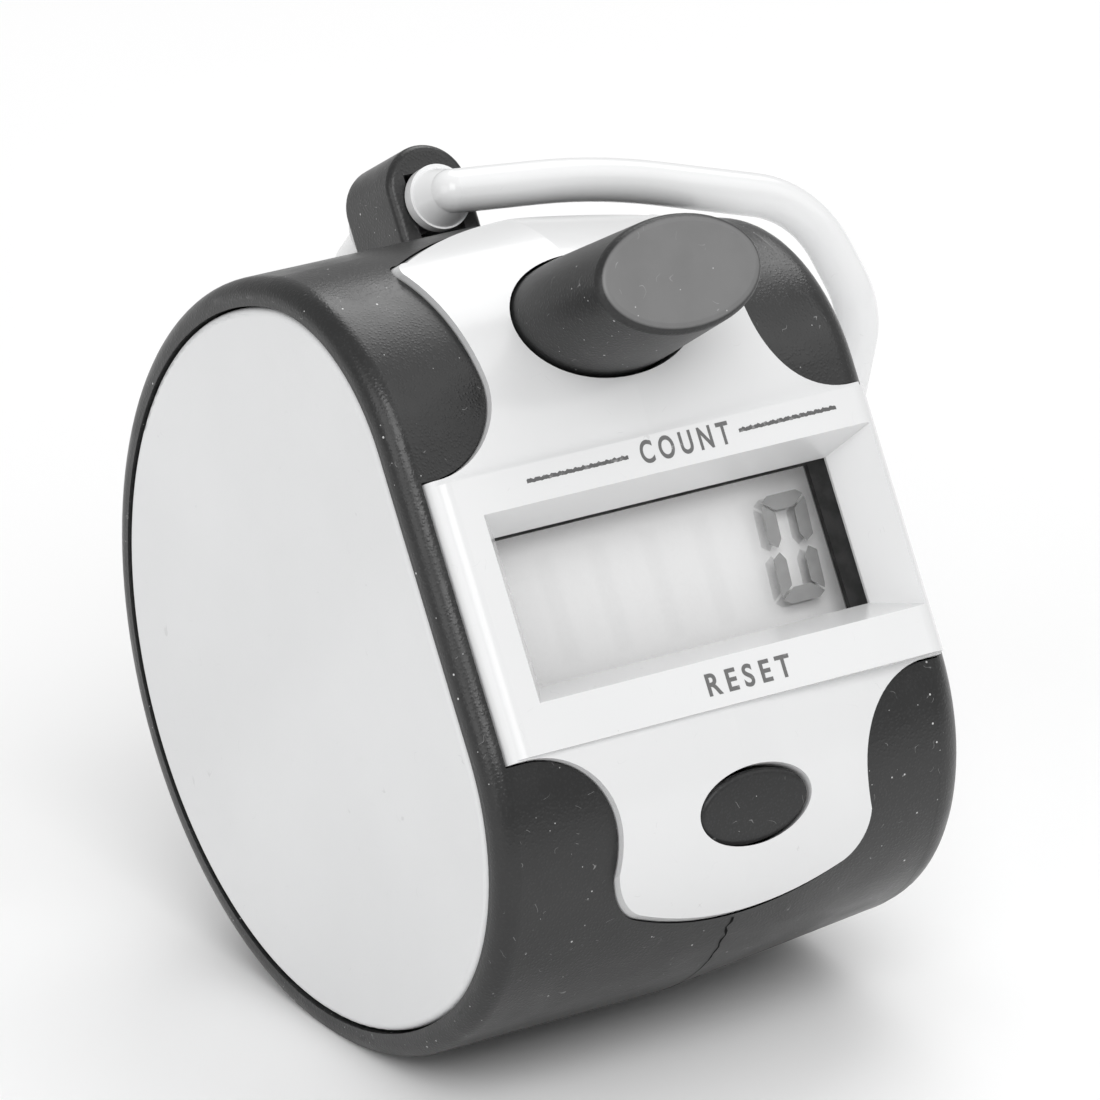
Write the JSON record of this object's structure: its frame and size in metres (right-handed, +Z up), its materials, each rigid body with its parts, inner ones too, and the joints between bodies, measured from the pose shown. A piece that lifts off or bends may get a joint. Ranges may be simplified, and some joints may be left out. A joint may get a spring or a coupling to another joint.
{
  "type": "hand tally counter",
  "caption": "Drum-shaped hand tally counter with a flat display front, a long oval count button, a small oval reset button and a swinging finger ring on a lug.",
  "frame": {"origin": "on the drum's axis, in the plane of the left side cover's flat outer face", "axes": "+X from the left side cover across the drum to the right one; +Z up, with the counter standing on the narrow flat under its round grip; -Y towards the display, which leans back 32 degrees and faces forwards and upwards"},
  "size_m": [0.0409, 0.0472, 0.0484],
  "materials": {
    "left_grip_shell": "fine grained, soft-touch",
    "right_grip_shell": "fine grained, soft-touch",
    "left_side_cover": "smooth satin",
    "right_side_cover": "smooth satin",
    "faceplate": "polished",
    "count_button": "fine grained, smoother end face",
    "reset_button": "fine grained",
    "count_switch_base": "moulded",
    "count_switch_plunger": "moulded",
    "reset_switch_base": "moulded",
    "reset_switch_plunger": "moulded",
    "lcd_gasket": "foam",
    "lcd_front_glass": "clear, polarising film in front",
    "lcd_rear_glass": "clear",
    "lcd_reflector": "pale reflecting film",
    "lcd_holder": "moulded",
    "upper_contact_strip": "layered conductive rubber",
    "lower_contact_strip": "layered conductive rubber",
    "circuit_board": "glass-fibre laminate with green solder mask",
    "chip_blob": "cast resin",
    "capacitor": "can",
    "battery_cell": "plated",
    "battery_holder": "moulded",
    "battery_contact_negative": "nickel plated",
    "battery_contact_positive": "nickel plated",
    "board_screws": "plated",
    "case_screws": "plated",
    "ring_lug": "fine grained, soft-touch",
    "finger_ring": "polished"
  },
  "bodies": {
    "housing": {"left_grip_shell": "left_grip_shell", "right_grip_shell": "right_grip_shell", "left_side_cover": "left_side_cover", "right_side_cover": "right_side_cover", "faceplate": "faceplate", "count_switch_base": "count_switch_base", "reset_switch_base": "reset_switch_base", "lcd_gasket": "lcd_gasket", "lcd_front_glass": "lcd_front_glass", "lcd_rear_glass": "lcd_rear_glass", "lcd_reflector": "lcd_reflector", "lcd_holder": "lcd_holder", "upper_contact_strip": "upper_contact_strip", "lower_contact_strip": "lower_contact_strip", "circuit_board": "circuit_board", "chip_blob": "chip_blob", "capacitor": "capacitor", "battery_cell": "battery_cell", "battery_holder": "battery_holder", "battery_contact_negative": "battery_contact_negative", "battery_contact_positive": "battery_contact_positive", "board_screws": "board_screws", "case_screws": "case_screws", "ring_lug": "ring_lug"},
    "count_key": {"count_button": "count_button", "count_switch_plunger": "count_switch_plunger"},
    "reset_key": {"reset_button": "reset_button", "reset_switch_plunger": "reset_switch_plunger"},
    "ring": {"finger_ring": "finger_ring"}
  },
  "joints": [
    {"name": "count_press", "type": "slide", "parent": "housing", "child": "count_key", "axis": [0, 0.848, -0.5299], "range_m": [0, 0.0012], "stiffness_N_per_m": 900, "springref_m": -0.0015},
    {"name": "reset_press", "type": "slide", "parent": "housing", "child": "reset_key", "axis": [0, 0.848, -0.5299], "range_m": [0, 0.0008], "stiffness_N_per_m": 1000, "springref_m": -0.001},
    {"name": "ring_swing", "type": "hinge", "parent": "housing", "child": "ring", "pos_m": [0.01585, 0.01532, 0.01885], "axis": [0, -0.848, 0.5299], "range_deg": [0, 180]}
  ]
}
